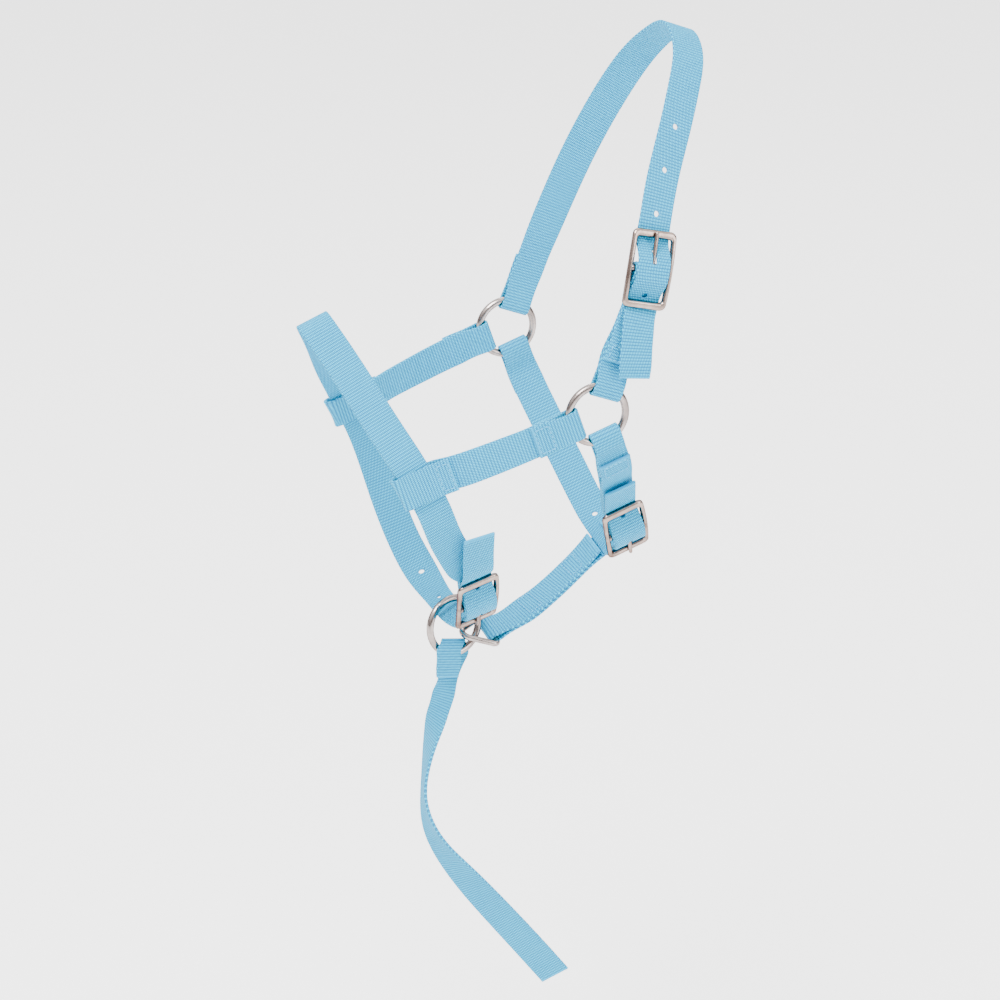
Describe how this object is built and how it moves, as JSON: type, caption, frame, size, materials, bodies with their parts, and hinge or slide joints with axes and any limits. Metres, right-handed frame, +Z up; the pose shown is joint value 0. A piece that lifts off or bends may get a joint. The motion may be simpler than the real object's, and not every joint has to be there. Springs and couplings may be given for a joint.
{
  "type": "foal halter",
  "caption": "Buckled webbing head halter for a foal, with rings at the cheeks and chin, a jaw strap and a short grab strap.",
  "frame": {"origin": "the middle of the crown strap's underside, where the halter rests on the poll", "axes": "+Z up, +X to the foal's left (near side, where all three buckles are), -Y towards the nose; the halter hangs as worn"},
  "size_m": [0.1655, 0.2241, 0.5737],
  "materials": {
    "webbing": "woven nylon webbing, light blue, slight sheen",
    "thread": "twisted polyester thread, light blue",
    "ring_nickel": "nickel-plated welded steel wire, satin",
    "buckle_nickel": "nickel-plated casting, satin"
  },
  "bodies": {
    "halter": {"noseband": "webbing", "cheek_strap_near": "webbing", "cheek_strap_far": "webbing", "throat_strap": "webbing", "throat_buckle_tab": "webbing", "jaw_strap": "webbing", "throat_buckle_frame": "buckle_nickel", "nose_buckle_frame": "buckle_nickel", "throat_tab_stitching": "thread", "throat_ring_stitching": "thread", "cheek_ring_stitching_near": "thread", "cheek_ring_stitching_far": "thread", "cheek_tunnel_stitching_near": "thread", "cheek_tunnel_stitching_far": "thread", "jaw_front_stitching": "thread", "jaw_rear_stitching": "thread", "noseband_stitching": "thread"},
    "crown": {"crown_strap": "webbing", "crown_buckle_tab": "webbing", "crown_buckle_frame": "buckle_nickel", "crown_tab_stitching": "thread", "crown_ring_stitching": "thread"},
    "near_ring": {"cheek_ring_near": "ring_nickel"},
    "far_ring": {"cheek_ring_far": "ring_nickel"},
    "lead_ring": {"chin_ring": "ring_nickel"},
    "dee": {"jaw_dee": "ring_nickel"},
    "grab": {"grab_strap": "webbing"},
    "crown_tongue": {"crown_buckle_tongue": "buckle_nickel"},
    "throat_tongue": {"throat_buckle_tongue": "buckle_nickel"},
    "nose_tongue": {"nose_buckle_tongue": "buckle_nickel"}
  },
  "joints": [
    {"name": "crown_swing", "type": "hinge", "parent": "halter", "child": "crown", "pos_m": [0, -0.07135, -0.18588], "axis": [1, 0, 0], "range_deg": [-35, 35]},
    {"name": "near_ring_turn", "type": "hinge", "parent": "halter", "child": "near_ring", "pos_m": [0.077, -0.07135, -0.18588], "axis": [1, 0, 0], "continuous": true},
    {"name": "far_ring_turn", "type": "hinge", "parent": "halter", "child": "far_ring", "pos_m": [-0.077, -0.07135, -0.18588], "axis": [1, 0, 0], "continuous": true},
    {"name": "chin_ring_turn", "type": "hinge", "parent": "halter", "child": "lead_ring", "pos_m": [0.003, -0.12835, -0.33078], "axis": [0.9553, 0.2701, 0.12], "continuous": true},
    {"name": "jaw_dee_swing", "type": "hinge", "parent": "halter", "child": "dee", "pos_m": [-0.002, -0.10585, -0.33918], "axis": [0.9025, 0.2006, -0.3811], "range_deg": [-12, 0]},
    {"name": "grab_strap_swing", "type": "hinge", "parent": "halter", "child": "grab", "pos_m": [0.003, -0.12835, -0.33078], "axis": [0.9553, 0.2701, 0.12], "range_deg": [-35, 4]},
    {"name": "crown_tongue_lift", "type": "hinge", "parent": "crown", "child": "crown_tongue", "pos_m": [0.0735, -0.04132, -0.10946], "axis": [0, 0.9746, -0.2239], "range_deg": [0, 2.5]},
    {"name": "throat_tongue_lift", "type": "hinge", "parent": "halter", "child": "throat_tongue", "pos_m": [0.042, -0.04091, -0.26951], "axis": [0, -0.9397, -0.342], "range_deg": [0, 2.5]},
    {"name": "nose_tongue_lift", "type": "hinge", "parent": "halter", "child": "nose_tongue", "pos_m": [0.043, -0.12735, -0.30088], "axis": [0.1117, -0.963, -0.2451], "range_deg": [0, 2.5]}
  ]
}
